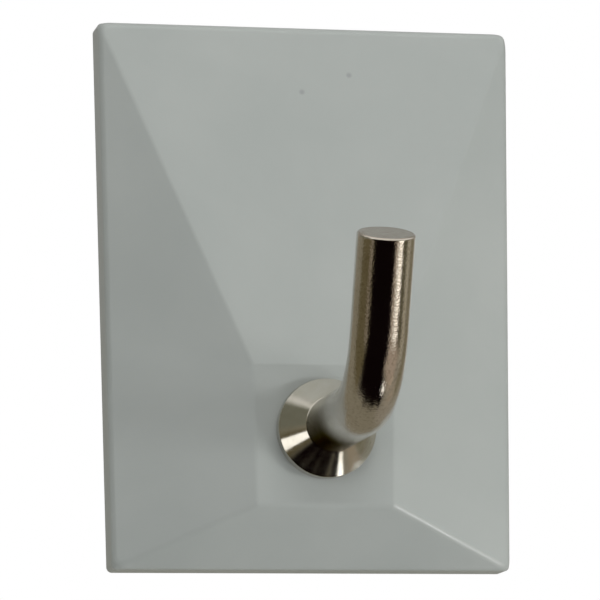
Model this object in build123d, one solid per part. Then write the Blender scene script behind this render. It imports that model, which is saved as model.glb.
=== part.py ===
from build123d import *
import os
from math import atan2, cos, degrees, radians, sin, tan

# Adhesive hook, in millimetres. +X is the viewer's right, +Z is up, and the front faces -Y.
# The origin is the centre of the adhesive face, which lies on the wall at Y = 0.

# Plate
plate_width = 45.0
plate_height = 60.0
plate_taper = 2.0
rim_depth = 4.0
plate_depth = 11.0
shell_wall = 1.8
plate_round = 1.0
corner_round = 0.6

# Flat land that carries the hook
land_side = 15.2
land_below_centre = 16.2

# Foam pad
foam_thickness = 1.0
foam_inset = 1.5
foam_corner = 3.0

# Back panel
panel_thickness = 1.2
panel_gap = 0.15
panel_corner = 1.0
peg_radius = 1.2
peg_length = 2.5
peg_gap = 0.1
peg_tip_chamfer = 0.3

# Hook rod
rod_radius = 3.0
stem_reach = 23.8
bend_radius = 10.4
lean_angle = 22.7
leg_length = 17.4
axis_below_centre = 15.6
rod_end_round = 0.3
shoulder_chamfer = 0.15
tail_radius = 2.0
tail_length = 11.0
tail_tip_chamfer = 0.4

# Collar
collar_base_radius = 5.35
collar_height = 4.7
collar_foot = 0.35
collar_lip_round = 0.12
collar_bore_radius = 2.1

# Fasteners behind the land
washer_radius = 4.5
washer_thickness = 0.8
washer_bore_radius = 2.15
nut_sides = 6
nut_across_flats = 7.0
nut_height = 3.2
nut_bevel_angle = 30.0
land_bore_radius = 2.15

# Moulded inside of the shell
socket_radius = 6.0
socket_wall = 1.2
socket_height = 4.0
rib_thickness = 1.1
cross_rib_above_centre = 7.5
post_radius = 2.6
post_from_side = 6.0
post_from_top = 15.0
post_from_bottom = 6.5

# How near its plane an edge must lie to count as in it
plane_tolerance = 0.01

# Places worked out from the dimensions above
shell_back = -foam_thickness
rim_front = shell_back - rim_depth
land_front = shell_back - plate_depth
land_inside = land_front + shell_wall
panel_front = shell_back - panel_thickness
collar_top = land_front - collar_height
tail_end = collar_top + tail_length
washer_back = land_inside + washer_thickness
nut_back = washer_back + nut_height
side_lean = atan2(plate_taper / 2, plate_height)


def front_plane(y):
    """Drawing plane that faces the viewer, with sketch Y along +Z."""
    return Plane(origin=(0, y, 0), x_dir=(1, 0, 0), z_dir=(0, -1, 0))


def on_axis(y):
    """Drawing plane that faces the viewer, centred on the hook's axis."""
    return front_plane(y) * Pos(0, -axis_below_centre)


def edges_at(solid, y):
    """Edges that lie whole in the plane at this Y."""
    return solid.edges().filter_by_position(Axis.Y, y - plane_tolerance, y + plane_tolerance)


def tapered(width, height):
    """Upright outline of this mean width, whose sides part towards the top as the plate's do."""
    top_width = width + height * tan(side_lean)
    return Trapezoid(top_width, height, 90 - degrees(side_lean), rotation=180)


def plate_outline(inset):
    """The plate's outline moved in all round by the inset."""
    return offset(tapered(plate_width, plate_height), amount=-inset, kind=Kind.INTERSECTION)


def round_corners(outline, radius):
    return fillet(outline.vertices(), radius)


def plate_form():
    """Rim band and four flat sloping facets up to the land, low on the plate, with sharp edges."""
    rim = tapered(plate_width, plate_height)
    land = Pos(0, -land_below_centre) * tapered(land_side, land_side)
    band = extrude(front_plane(shell_back) * rim, rim_depth)
    foot = front_plane(rim_front) * rim
    crown = front_plane(land_front) * land
    facets = [
        Face(Wire.make_polygon([*low_edge.vertices(), *reversed(high_edge.vertices())]))
        for low_edge, high_edge in zip(foot.wire().edges(), crown.wire().edges())
    ]
    return band + Solid(Shell([foot.face(), crown.face(), *facets]))


def shell_inside():
    """Space behind the facets, an even wall inside them and open at the back."""
    space = offset(plate_form(), amount=-shell_wall, kind=Kind.INTERSECTION)
    mouth = extrude(front_plane(shell_back) * plate_outline(shell_wall), shell_wall)
    return space + mouth


def round_at_posts(radius):
    """The same circle at each of the four peg posts."""
    across = plate_width - 2 * post_from_side
    apart = plate_height - post_from_top - post_from_bottom
    middle = Pos(0, (post_from_bottom - post_from_top) / 2)
    return middle * (Sketch() + GridLocations(across, apart, 2, 2) * Circle(radius))


def shell_stiffeners():
    """Socket ring, ribs and peg posts, up to the back panel."""
    depth = panel_front - land_inside
    ring_outside = socket_radius + socket_wall
    ring = extrude(on_axis(land_inside + socket_height) * Circle(ring_outside), socket_height + shell_wall)
    tall = depth + shell_wall
    up_length = plate_height / 2 + axis_below_centre
    up_rib = Pos(0, up_length / 2 - axis_below_centre) * Rectangle(rib_thickness, up_length)
    side_ribs = Pos(0, -axis_below_centre) * Rectangle(plate_width, rib_thickness)
    down_length = plate_height / 2 - axis_below_centre
    down_rib = Pos(0, -axis_below_centre - down_length / 2) * Rectangle(rib_thickness, down_length)
    cross_rib = Pos(0, cross_rib_above_centre) * Rectangle(plate_width, rib_thickness)
    grid = up_rib + side_ribs + down_rib + cross_rib
    ribs = extrude(front_plane(panel_front) * grid, tall)
    posts = extrude(front_plane(panel_front) * round_at_posts(post_radius), tall)
    well = extrude(on_axis(panel_front) * Circle(socket_radius), depth)
    return ribs + ring + posts - well


def front_shell():
    body = plate_form()
    corners = body.edges().filter_by(Axis.Y)
    body = fillet(body.edges() - edges_at(body, shell_back) - corners, plate_round)
    outline = round_corners(tapered(plate_width, plate_height), corner_round)
    body &= extrude(front_plane(shell_back) * outline, plate_depth)
    inside = shell_inside()
    body = body - inside + (shell_stiffeners() & inside)
    body -= extrude(on_axis(land_inside) * Circle(land_bore_radius), shell_wall)
    peg_bores = front_plane(panel_front) * round_at_posts(peg_radius + peg_gap)
    return body - extrude(peg_bores, peg_length + peg_gap)


def back_panel():
    outline = round_corners(plate_outline(shell_wall + panel_gap), panel_corner)
    panel = extrude(front_plane(shell_back) * outline, panel_thickness)
    pegs = extrude(front_plane(panel_front) * round_at_posts(peg_radius), peg_length)
    pegs = chamfer(edges_at(pegs, panel_front - peg_length), peg_tip_chamfer)
    return panel + pegs


def foam_pad():
    outline = round_corners(plate_outline(foam_inset), foam_corner)
    return extrude(front_plane(0) * outline, foam_thickness)


def hook_path():
    """Straight stem, one bend and a straight leg that leans away from the wall."""
    elbow = Vector(0, land_front - stem_reach, -axis_below_centre)
    lean = radians(lean_angle)
    leg_way = Vector(0, -sin(lean), cos(lean))
    shoulder = Vector(0, collar_top, -axis_below_centre)
    return FilletPolyline(shoulder, elbow, elbow + leg_way * leg_length, radius=bend_radius)


def hook_rod():
    rod = sweep(on_axis(collar_top) * Circle(rod_radius), path=hook_path())
    rod = chamfer(edges_at(rod, collar_top), shoulder_chamfer)
    leg_end = rod.edges().filter_by(GeomType.CIRCLE).sort_by(Axis.Z)[-1]
    rod = fillet(leg_end, rod_end_round)
    tail = extrude(on_axis(collar_top) * Circle(tail_radius), -tail_length)
    tail = chamfer(edges_at(tail, tail_end), tail_tip_chamfer)
    return rod + tail


def collar():
    """Low cone with a short upright foot, turned about the hook's axis."""
    profile = Polyline(
        (collar_bore_radius, 0),
        (collar_base_radius, 0),
        (collar_base_radius, collar_foot),
        (rod_radius, collar_height),
        (collar_bore_radius, collar_height),
        close=True,
    )
    ring = revolve(Plane.XZ * make_face(profile), Axis.Z)
    lip = ring.edges().filter_by(GeomType.CIRCLE).group_by(Axis.Z)[-1].sort_by(SortBy.LENGTH)[-1]
    ring = fillet(lip, collar_lip_round)
    return on_axis(land_front) * ring


def tail_washer():
    disc = Circle(washer_radius) - Circle(washer_bore_radius)
    return extrude(on_axis(washer_back) * disc, washer_thickness)


def tail_nut():
    """Hexagon nut with both faces bevelled at the corners."""
    flat_radius = nut_across_flats / 2
    corner_radius = flat_radius / cos(radians(180 / nut_sides))
    hexagon = RegularPolygon(corner_radius, nut_sides)
    block = extrude(on_axis(nut_back) * (hexagon - Circle(tail_radius)), nut_height)
    drop = (corner_radius - flat_radius) * tan(radians(nut_bevel_angle))
    bevel = Polyline(
        (0, 0),
        (flat_radius, 0),
        (corner_radius, drop),
        (corner_radius, nut_height - drop),
        (flat_radius, nut_height),
        (0, nut_height),
        close=True,
    )
    turned = revolve(Plane.XZ * make_face(bevel), Axis.Z)
    return block & (on_axis(nut_back) * turned)


pieces = {
    "front_shell": front_shell,
    "back_panel": back_panel,
    "foam_pad": foam_pad,
    "hook_rod": hook_rod,
    "collar": collar,
    "tail_washer": tail_washer,
    "tail_nut": tail_nut,
}

os.makedirs("parts", exist_ok=True)
for name, make in pieces.items():
    export_step(make(), f"parts/{name}.step")
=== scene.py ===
import math

import bmesh
import bpy
from mathutils import Euler, Matrix, Vector


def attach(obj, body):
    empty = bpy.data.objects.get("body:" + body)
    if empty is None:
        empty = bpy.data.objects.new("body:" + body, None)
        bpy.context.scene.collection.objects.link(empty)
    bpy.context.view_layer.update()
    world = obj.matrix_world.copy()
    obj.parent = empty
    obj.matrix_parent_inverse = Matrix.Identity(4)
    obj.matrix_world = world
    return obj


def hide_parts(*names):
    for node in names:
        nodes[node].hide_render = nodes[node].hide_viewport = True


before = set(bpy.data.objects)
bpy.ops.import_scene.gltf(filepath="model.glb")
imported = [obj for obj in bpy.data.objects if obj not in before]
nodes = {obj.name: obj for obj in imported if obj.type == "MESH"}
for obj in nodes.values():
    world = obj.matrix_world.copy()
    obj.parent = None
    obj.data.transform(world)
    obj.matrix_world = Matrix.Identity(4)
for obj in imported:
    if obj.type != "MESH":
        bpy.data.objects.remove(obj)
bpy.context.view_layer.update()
scene = bpy.context.scene

# Lengths are in metres.
MM = 0.001

# The hook's axis runs along Y, this far below the plate's centre.
AXIS_Z = -15.6 * MM
ROD_RADIUS = 3.0 * MM

# The collar stands on the plate's land. Each of its corners is eased by the last value.
LAND_Y = -12.0 * MM
COLLAR_TOP = -16.7 * MM
COLLAR_HEIGHT = LAND_Y - COLLAR_TOP
COLLAR_BASE = 5.35 * MM
COLLAR_FOOT = 1.4 * MM
COLLAR_BORE = 2.1 * MM
CORNER_EASE = 0.12 * MM

# The leg's direction, and how far along it the leg's cut end lies from the origin
LEG_WAY = Vector((0.0, -0.3859, 0.9225))
LEG_END = 16.82 * MM

# Thread on the rod's tail
THREAD_START = COLLAR_TOP + 1.5 * MM
THREAD_PITCH = 0.7 * MM
THREAD_DEPTH = 0.4 * MM

# Painted shade on the stem's underside beside the collar, a near-black colour and a dulled reflection: its
# turn about the axis, and where along Y it starts and is full
PAINTED_SHADE_TURN = math.radians(-122)
PAINTED_SHADE_START = COLLAR_TOP - 11.5 * MM
PAINTED_SHADE_FULL = COLLAR_TOP - 5.0 * MM

# Specks of dust on the plate, as X and Z, and how far their dark middle and their soft edge reach
SPECKS = ((-0.7 * MM, 22.4 * MM), (4.7 * MM, 24.5 * MM))
SPECK_MIDDLE = 0.1 * MM
SPECK_EDGE = 0.45 * MM

# The camera, as fitted to the edges of the plate, the collar and the hook
CAMERA_PLACE = Vector((-95.9, -451.0, -73.0)) * MM
CAMERA_TURN = Euler((-0.1612, -0.2070, 0.0170))
CAMERA_LENS = 254.0

# The floor turns white between these two distances from its middle.
FLOOR_Z = -130 * MM
FLOOR_HALF = 6.0
FLOOR_PALE = 0.12
FLOOR_WHITE = 0.7

# All lamps point at the middle of the plate.
LAMP_AIM = Vector((0.0, -10 * MM, 0.0))


def colour(r, g, b):
    return (r, g, b, 1.0)


WHITE = colour(1.0, 1.0, 1.0)


# Camera

def make_camera():
    """A long lens below the hook and to its left, which is where the photograph was taken from."""
    data = bpy.data.cameras.new("camera")
    data.sensor_width = 36
    data.lens = CAMERA_LENS
    data.clip_start = 0.01
    data.clip_end = 50
    camera = bpy.data.objects.new("camera", data)
    scene.collection.objects.link(camera)
    # Right, down and forward of a level camera
    level = Matrix(((1, 0, 0), (0, 0, -1), (0, 1, 0)))
    right, down, forward = CAMERA_TURN.to_matrix() @ level
    turn = Matrix((right, -down, -forward)).transposed().to_4x4()
    camera.matrix_world = Matrix.Translation(CAMERA_PLACE) @ turn
    scene.camera = camera


make_camera()


# Node helpers

class Graph:
    """Adds nodes to a tree. An input given as a socket is linked, and any other is set as a value."""

    def __init__(self, tree):
        self.tree = tree

    def add(self, kind, inputs=None, **settings):
        node = self.tree.nodes.new(kind)
        for name, value in settings.items():
            setattr(node, name, value)
        for key, value in (inputs or {}).items():
            self.feed(node.inputs[key], value)
        return node

    def feed(self, socket, value):
        if isinstance(value, bpy.types.NodeSocket):
            self.tree.links.new(value, socket)
        else:
            socket.default_value = value

    def math(self, operation, a, b=0.0):
        return self.add("ShaderNodeMath", {0: a, 1: b}, operation=operation).outputs[0]

    def hypot(self, a, b):
        squares = self.math("ADD", self.math("POWER", a, 2.0), self.math("POWER", b, 2.0))
        return self.math("SQRT", squares)

    def dot(self, a, b):
        node = self.add("ShaderNodeVectorMath", {0: a, 1: b}, operation="DOT_PRODUCT")
        return node.outputs["Value"]

    def length(self, vector):
        return self.add("ShaderNodeVectorMath", {0: vector}, operation="LENGTH").outputs["Value"]

    def split(self, vector):
        return self.add("ShaderNodeSeparateXYZ", {0: vector}).outputs

    def join(self, x, y, z):
        return self.add("ShaderNodeCombineXYZ", {0: x, 1: y, 2: z}).outputs[0]

    def stretch(self, vector, scale):
        return self.add("ShaderNodeMapping", {"Vector": vector, "Scale": scale}).outputs[0]

    def noise(self, vector, scale, detail=3.0, rough=0.5, warp=0.0):
        values = {"Vector": vector, "Scale": scale, "Detail": detail, "Roughness": rough, "Distortion": warp}
        return self.add("ShaderNodeTexNoise", values).outputs["Fac"]

    def cells(self, vector, scale):
        values = {"Vector": vector, "Scale": scale}
        return self.add("ShaderNodeTexVoronoi", values, feature="F1").outputs["Distance"]

    def span(self, value, low, high, to_low=0.0, to_high=1.0, smooth=False):
        """Maps low to to_low and high to to_high, and holds the value beyond them."""
        kind = "SMOOTHSTEP" if smooth else "LINEAR"
        values = {"Value": value, "From Min": low, "From Max": high, "To Min": to_low, "To Max": to_high}
        return self.add("ShaderNodeMapRange", values, interpolation_type=kind).outputs[0]

    def mix(self, factor, a, b):
        node = self.add("ShaderNodeMix", data_type="RGBA")
        for key, value in ((0, factor), (6, a), (7, b)):
            self.feed(node.inputs[key], value)
        return node.outputs[2]

    def bump(self, height, distance, strength=1.0, under=None):
        values = {"Height": height, "Distance": distance, "Strength": strength}
        if under:
            values["Normal"] = under
        return self.add("ShaderNodeBump", values).outputs[0]

    def background(self, light, strength=1.0):
        return self.add("ShaderNodeBackground", {"Color": light, "Strength": strength}).outputs[0]

    def blend(self, factor, a, b):
        return self.add("ShaderNodeMixShader", {0: factor, 1: a, 2: b}).outputs[0]


def new_material(name, metallic=0.0):
    material = bpy.data.materials.new(name)
    material.use_nodes = True
    graph = Graph(material.node_tree)
    shader = material.node_tree.nodes["Principled BSDF"]
    shader.inputs["Metallic"].default_value = metallic
    place = graph.add("ShaderNodeTexCoord").outputs["Object"]
    return material, graph, shader, place


def finish_shader(graph, shader, base, rough, normal):
    graph.feed(shader.inputs["Base Color"], base)
    graph.feed(shader.inputs["Roughness"], rough)
    graph.feed(shader.inputs["Normal"], normal)


# Plastics

def shell_plastic():
    """Grey satin plastic: an even fine mould grain, faint clouding and two specks of dust."""
    material, graph, shader, place = new_material("shell_plastic")
    cloud = graph.noise(place, scale=70.0, detail=4.0, rough=0.55, warp=0.4)
    base = graph.mix(graph.span(cloud, 0.3, 0.7), colour(0.342, 0.366, 0.350), colour(0.372, 0.394, 0.376))
    coords = graph.split(place)
    for speck_x, speck_z in SPECKS:
        across = graph.math("SUBTRACT", coords["X"], speck_x)
        upward = graph.math("SUBTRACT", coords["Z"], speck_z)
        dust = graph.span(graph.hypot(across, upward), SPECK_MIDDLE, SPECK_EDGE, 0.35, 0.0, smooth=True)
        base = graph.mix(dust, base, colour(0.12, 0.13, 0.13))
    rough = graph.span(graph.noise(place, scale=150.0, detail=2.0), 0.3, 0.7, 0.29, 0.33)
    wave = graph.noise(place, scale=160.0, detail=2.0)
    grain = graph.noise(place, scale=3200.0, detail=2.0, rough=0.6)
    normal = graph.bump(wave, 0.05 * MM, strength=0.2)
    normal = graph.bump(grain, 0.012 * MM, strength=0.4, under=normal)
    finish_shader(graph, shader, base, rough, normal)
    return material


def panel_plastic():
    """The same grey, matt, with the streaks that a thin flat moulding shows."""
    material, graph, shader, place = new_material("panel_plastic")
    drawn = graph.stretch(place, (3.0, 1.0, 0.4))
    streak = graph.noise(drawn, scale=160.0, detail=4.0, rough=0.6, warp=0.8)
    base = graph.mix(streak, colour(0.31, 0.33, 0.31), colour(0.37, 0.39, 0.37))
    rough = graph.span(streak, 0.3, 0.7, 0.55, 0.68)
    grain = graph.noise(place, scale=2600.0, detail=2.0)
    finish_shader(graph, shader, base, rough, graph.bump(grain, 0.02 * MM, strength=0.8))
    return material


def foam():
    """White closed-cell foam with small pores, and a smoother adhesive film on the wall's side."""
    material, graph, shader, place = new_material("foam")
    patch = graph.noise(place, scale=45.0)
    base = graph.mix(graph.span(patch, 0.3, 0.7), colour(0.74, 0.74, 0.71), colour(0.82, 0.82, 0.80))
    cells = graph.cells(place, scale=1500.0)
    pore = graph.span(cells, 0.0, 0.42, 1.0, 0.0, smooth=True)
    base = graph.mix(graph.math("MULTIPLY", pore, 0.35), base, colour(0.52, 0.52, 0.49))
    film = graph.span(graph.split(place)["Y"], -0.06 * MM, -0.01 * MM)
    rough = graph.math("SUBTRACT", 0.85, graph.math("MULTIPLY", film, 0.35))
    small_cells = graph.cells(place, scale=3400.0)
    height = graph.math("ADD", cells, graph.math("MULTIPLY", small_cells, 0.4))
    finish_shader(graph, shader, base, rough, graph.bump(height, 0.12 * MM, strength=0.6))
    return material


# Metals

def off_axis(graph, place):
    """Distance to the right of the hook's axis and above it, and place along it."""
    x, y, z = graph.split(place)
    return x, graph.math("SUBTRACT", z, AXIS_Z), y


def painted_stem_shade(graph, angle, along):
    """Mask of the painted shade: greatest on the stem's underside close to the collar, and 0 away from
    there.
    """
    near = graph.span(along, PAINTED_SHADE_START, PAINTED_SHADE_FULL, smooth=True)
    facing = graph.math("COSINE", graph.math("SUBTRACT", angle, PAINTED_SHADE_TURN))
    return graph.math("MULTIPLY", near, graph.span(facing, 0.15, 1.0, 0.0, 0.95))


def tail_thread(graph, angle, along):
    """Height of the thread's ridges, 0 to 1 on the tail and 0 elsewhere."""
    turns = graph.math("DIVIDE", along, THREAD_PITCH)
    helix = graph.math("ADD", turns, graph.math("DIVIDE", angle, 2 * math.pi))
    ridge = graph.math("MULTIPLY", graph.math("PINGPONG", helix, 0.5), 2.0)
    return graph.math("MULTIPLY", ridge, graph.math("GREATER_THAN", along, THREAD_START))


def plated_steel():
    """Bright nickel over drawn rod: a faint orange peel, fine pits and grain, and a thread on the tail.

    Painted shade gives the stem a near-black colour and a dulled reflection below, beside the collar, and
    the leg's cut end is duller than the rest.
    """
    material, graph, shader, place = new_material("plated_steel", metallic=1.0)
    across, up, along = off_axis(graph, place)
    angle = graph.math("ARCTAN2", up, across)
    tint = graph.noise(place, scale=260.0, detail=4.0, rough=0.6, warp=0.5)
    base = graph.mix(graph.span(tint, 0.35, 0.65), colour(0.63, 0.575, 0.505), colour(0.69, 0.645, 0.585))
    pits = graph.noise(place, scale=3400.0, detail=2.0, rough=0.6)
    base = graph.mix(graph.span(pits, 0.52, 0.72, 0.0, 0.45), base, colour(0.38, 0.33, 0.25))
    # Painted shade: near-black colour and a dark specular tint on the stem's underside beside the collar
    shade = painted_stem_shade(graph, angle, along)
    base = graph.mix(shade, base, colour(0.04, 0.03, 0.012))
    edge = graph.mix(shade, WHITE, colour(0.22, 0.20, 0.13))
    graph.feed(shader.inputs["Specular Tint"], edge)
    cut = graph.span(graph.dot(place, LEG_WAY), LEG_END - 0.2 * MM, LEG_END - 0.03 * MM)
    base = graph.mix(cut, base, colour(0.50, 0.45, 0.385))
    rough = graph.span(graph.noise(place, scale=900.0, rough=0.6), 0.3, 0.75, 0.07, 0.17)
    rough = graph.math("ADD", rough, graph.math("MULTIPLY", cut, 0.10))
    peel = graph.noise(place, scale=700.0, rough=0.55)
    grit = graph.noise(place, scale=4200.0, detail=2.0, rough=0.6)
    normal = graph.bump(peel, 0.02 * MM, strength=0.35)
    normal = graph.bump(grit, 0.02 * MM, under=normal)
    normal = graph.bump(tail_thread(graph, angle, along), THREAD_DEPTH, under=normal)
    finish_shader(graph, shader, base, rough, normal)
    return material


def plated_collar():
    """The same plating over a turned cone: fine tool rings about the axis."""
    material, graph, shader, place = new_material("plated_collar", metallic=1.0)
    across, up, along = off_axis(graph, place)
    tint = graph.noise(place, scale=320.0, detail=4.0, rough=0.6, warp=0.5)
    base = graph.mix(graph.span(tint, 0.35, 0.65), colour(0.54, 0.51, 0.435), colour(0.61, 0.58, 0.52))
    rough = graph.span(graph.noise(place, scale=800.0, rough=0.6), 0.3, 0.75, 0.09, 0.17)
    rings = graph.noise(graph.join(graph.hypot(across, up), along, 0.0), scale=5200.0, rough=0.7)
    grain = graph.noise(place, scale=2600.0, rough=0.7)
    normal = graph.bump(rings, 0.01 * MM, strength=0.5)
    normal = graph.bump(grain, 0.01 * MM, strength=0.5, under=normal)
    finish_shader(graph, shader, base, rough, normal)
    return material


def zinc_steel():
    """Pale zinc plating with a soft brushed grain and a faint blue and straw cast."""
    material, graph, shader, place = new_material("zinc_steel", metallic=1.0)
    cast = graph.noise(place, scale=380.0, rough=0.6, warp=1.0)
    base = graph.mix(graph.span(cast, 0.3, 0.7), colour(0.60, 0.63, 0.67), colour(0.67, 0.65, 0.58))
    brushed = graph.noise(graph.stretch(place, (0.12, 1.0, 1.6)), scale=3000.0, rough=0.6)
    rough = graph.span(brushed, 0.3, 0.7, 0.28, 0.42)
    finish_shader(graph, shader, base, rough, graph.bump(brushed, 0.012 * MM, strength=0.6))
    return material


# Collar

def eased(corners, steps=4):
    """The closed outline with each corner replaced by a small curve."""
    outline = []
    for i, corner in enumerate(corners):
        before = corner + (corners[i - 1] - corner).normalized() * CORNER_EASE
        after = corner + (corners[(i + 1) % len(corners)] - corner).normalized() * CORNER_EASE
        for k in range(steps + 1):
            t = k / steps
            outline.append(before.lerp(corner, t).lerp(corner.lerp(after, t), t))
    return outline


def turned(name, corners, sides=128):
    """Ring turned about the hook's axis. Corners are (radius, height off the land)."""
    form = bmesh.new()
    rings = []
    for radius, height in eased(corners):
        turns = [2 * math.pi * k / sides for k in range(sides)]
        rings.append([
            form.verts.new((radius * math.cos(turn), LAND_Y - height, AXIS_Z + radius * math.sin(turn)))
            for turn in turns
        ])
    for i, ring in enumerate(rings):
        last = rings[i - 1]
        for k in range(sides):
            form.faces.new((last[k - 1], last[k], ring[k], ring[k - 1]))
    bmesh.ops.recalc_face_normals(form, faces=form.faces)
    mesh = bpy.data.meshes.new(name)
    form.to_mesh(mesh)
    form.free()
    mesh.shade_smooth()
    piece = bpy.data.objects.new(name, mesh)
    scene.collection.objects.link(piece)
    piece.modifiers.new("even_normals", "WEIGHTED_NORMAL")
    return piece


collar = turned("collar_turning", [
    Vector((COLLAR_BORE, 0.0)),
    Vector((COLLAR_BASE, 0.0)),
    Vector((COLLAR_BASE, COLLAR_FOOT)),
    Vector((ROD_RADIUS, COLLAR_HEIGHT)),
    Vector((COLLAR_BORE, COLLAR_HEIGHT)),
])
collar.data.materials.append(plated_collar())
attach(collar, "root")
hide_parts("collar")


# Each node's material

zinc = zinc_steel()
finishes = {
    "front_shell": shell_plastic(),
    "back_panel": panel_plastic(),
    "foam_pad": foam(),
    "hook_rod": plated_steel(),
    "tail_washer": zinc,
    "tail_nut": zinc,
}

for name, finish in finishes.items():
    for slot in nodes[name].material_slots:
        slot.material = finish


# World: white to the camera, soft and even for diffuse light, and a studio room in reflections

EVEN_LIGHT = 0.33
ROOM_PLAIN = colour(0.245, 0.225, 0.17)
NEAR_BLACK = (0.004, 0.002, 0.002)

# Azimuth is 0 in front of the plate and grows to its right, elevation grows upwards, both in degrees.
# Each patch: lowest and highest azimuth, lowest and highest elevation, soft edge, and its light.
# A later patch covers those before it.
walls = (
    (-200, 200, 24, 100, 8, (1.0, 1.0, 0.98)),
    (-200, -115, 10, 62, 8, (0.36, 0.35, 0.33)),
    (115, 200, 10, 62, 8, (0.36, 0.35, 0.33)),
    (92, 150, -62, 12, 5, (0.30, 0.275, 0.225)),
    (139, 165, 0, 14, 4, (0.60, 0.62, 0.60)),
    (112, 122, -46, -28, 3, (0.38, 0.32, 0.245)),
    (-130, -75, 4, 44, 6, (0.20, 0.20, 0.16)),
    (-118, -80, -38, -3, 5, (0.125, 0.105, 0.056)),
    (-84, -60, -32, 4, 4, (0.12, 0.10, 0.055)),
    (-76, -67, -26, 4, 2.5, (0.28, 0.24, 0.19)),
    (90, 104, -22, 6, 4, (0.40, 0.37, 0.29)),
    (86, 100, -52, -38, 3, (0.50, 0.42, 0.33)),
    (31, 90, -60, -16, 4, (0.385, 0.318, 0.255)),
    (110, 130, -26, 4, 3, (0.21, 0.19, 0.13)),
)
dark_ground = (
    (-60, 12, -95, 13, 3, NEAR_BLACK),
    (10, 31, -95, 10, 4, (0.045, 0.033, 0.028)),
    (-68, 33, -95, -24, 5, NEAR_BLACK),
    (-80, 33, -95, -29, 5, NEAR_BLACK),
    (-94, 33, -95, -35, 5, NEAR_BLACK),
    (-112, -85, -95, -40, 5, NEAR_BLACK),
    (-136, 136, -95, -62, 4, NEAR_BLACK),
    (-200, 200, -95, -74, 3, NEAR_BLACK),
)
window_and_spot = (
    (68, 87, -25, 6, 3, (0.10, 0.095, 0.06)),
    (43, 65, -31, 16, 3, (0.85, 0.83, 0.74)),
    (43, 64, -25, -8, 2.5, (2.2, 2.1, 1.95)),
    (77, 86, -70, -64, 1.5, (5.0, 4.9, 4.7)),
)


def within(graph, angle, low, high, soft):
    """1 between the two angles, falling to 0 over the soft edge."""
    rise = graph.span(angle, low - soft, low + soft, smooth=True)
    fall = graph.span(angle, high - soft, high + soft, 1.0, 0.0, smooth=True)
    return graph.math("MULTIPLY", rise, fall)


def make_world():
    world = bpy.data.worlds.new("studio")
    scene.world = world
    world.use_nodes = True
    tree = world.node_tree
    tree.nodes.clear()
    graph = Graph(tree)
    x, y, z = graph.split(graph.add("ShaderNodeTexCoord").outputs["Generated"])
    azimuth = graph.math("DEGREES", graph.math("ARCTAN2", x, graph.math("MULTIPLY", y, -1.0)))
    elevation = graph.math("DEGREES", graph.math("ARCSINE", z))
    seen = ROOM_PLAIN
    for az_low, az_high, el_low, el_high, soft, light in walls + dark_ground + window_and_spot:
        inside = graph.math(
            "MULTIPLY",
            within(graph, azimuth, az_low, az_high, soft),
            within(graph, elevation, el_low, el_high, soft),
        )
        seen = graph.mix(inside, seen, colour(*light))
    path = graph.add("ShaderNodeLightPath").outputs
    even = graph.background(WHITE, EVEN_LIGHT)
    lit = graph.blend(path["Is Glossy Ray"], even, graph.background(seen))
    straight = graph.math("MAXIMUM", path["Is Camera Ray"], path["Is Transmission Ray"])
    shown = graph.blend(straight, lit, graph.background(WHITE))
    graph.add("ShaderNodeOutputWorld", {0: shown})


make_world()


# Floor and lamps

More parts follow.
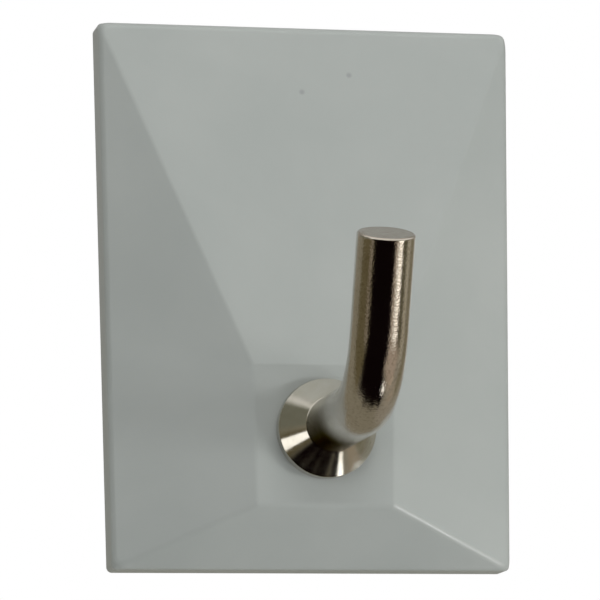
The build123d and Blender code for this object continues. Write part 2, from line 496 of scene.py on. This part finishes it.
def floor_material():
    """Pale and matt, white like the world far from the hook, and clear when looked at from below."""
    material, graph, shader, place = new_material("pale_floor")
    normal = graph.bump(graph.noise(place, scale=300.0), 0.1 * MM, strength=0.2)
    finish_shader(graph, shader, colour(0.82, 0.82, 0.81), 0.9, normal)
    path = graph.add("ShaderNodeLightPath").outputs
    far = graph.span(graph.length(place), FLOOR_PALE, FLOOR_WHITE, smooth=True)
    white = graph.add("ShaderNodeEmission", {"Color": WHITE, "Strength": 1.0}).outputs[0]
    seen_far = graph.math("MULTIPLY", far, path["Is Camera Ray"])
    above = graph.blend(seen_far, shader.outputs[0], white)
    backfacing = graph.add("ShaderNodeNewGeometry").outputs["Backfacing"]
    clear = graph.add("ShaderNodeBsdfTransparent").outputs[0]
    shown = graph.blend(backfacing, above, clear)
    graph.feed(material.node_tree.nodes["Material Output"].inputs["Surface"], shown)
    return material


def make_floor():
    mesh = bpy.data.meshes.new("floor")
    corners = [(x * FLOOR_HALF, y * FLOOR_HALF, 0) for x, y in ((-1, -1), (1, -1), (1, 1), (-1, 1))]
    mesh.from_pydata(corners, [], [(0, 1, 2, 3)])
    mesh.materials.append(floor_material())
    floor = bpy.data.objects.new("floor", mesh)
    floor.location.z = FLOOR_Z
    floor.visible_glossy = False
    scene.collection.objects.link(floor)


make_floor()


def lamp(name, place, size, power, pieces=(), mirrored=False):
    """Square soft light aimed at the plate. It lights only the pieces given, or else everything.

    It shows in reflections only where mirrored is set.
    """
    data = bpy.data.lights.new(name, "AREA")
    data.size = size
    data.energy = power
    light = bpy.data.objects.new(name, data)
    light.location = place
    light.rotation_euler = (LAMP_AIM - light.location).to_track_quat("-Z", "Y").to_euler()
    light.visible_glossy = mirrored
    light.visible_camera = False
    scene.collection.objects.link(light)
    if pieces:
        lit = bpy.data.collections.new(name + "_lights")
        for piece in pieces:
            lit.objects.link(piece)
        light.light_linking.receiver_collection = lit


# Three large lamps light everything, one lights the plate from behind, and the small cards each make a
# light patch on a single piece.
shell = nodes["front_shell"]
backed = [nodes["foam_pad"], shell, nodes["back_panel"]]
lamp("key", (0.41, -0.39, -0.075), size=0.12, power=0.95)
lamp("top", (0.0, -0.33, 0.72), size=0.60, power=3.2)
lamp("fill", (-0.50, -0.60, 0.10), size=0.50, power=1.0)
lamp("back", (0.16, 0.55, 0.30), size=0.50, power=3.5, pieces=backed)
lamp("left_card", (-0.110, -0.0005, -0.054), size=0.035, power=0.0062, pieces=[collar], mirrored=True)
lamp("low_card", (0.028, 0.0027, -0.0717), size=0.0085, power=0.00055, pieces=[collar], mirrored=True)
lamp("edge_card", (0.118, -0.099, -0.112), size=0.025, power=0.054, pieces=[shell], mirrored=True)

scene.view_settings.view_transform = "Standard"
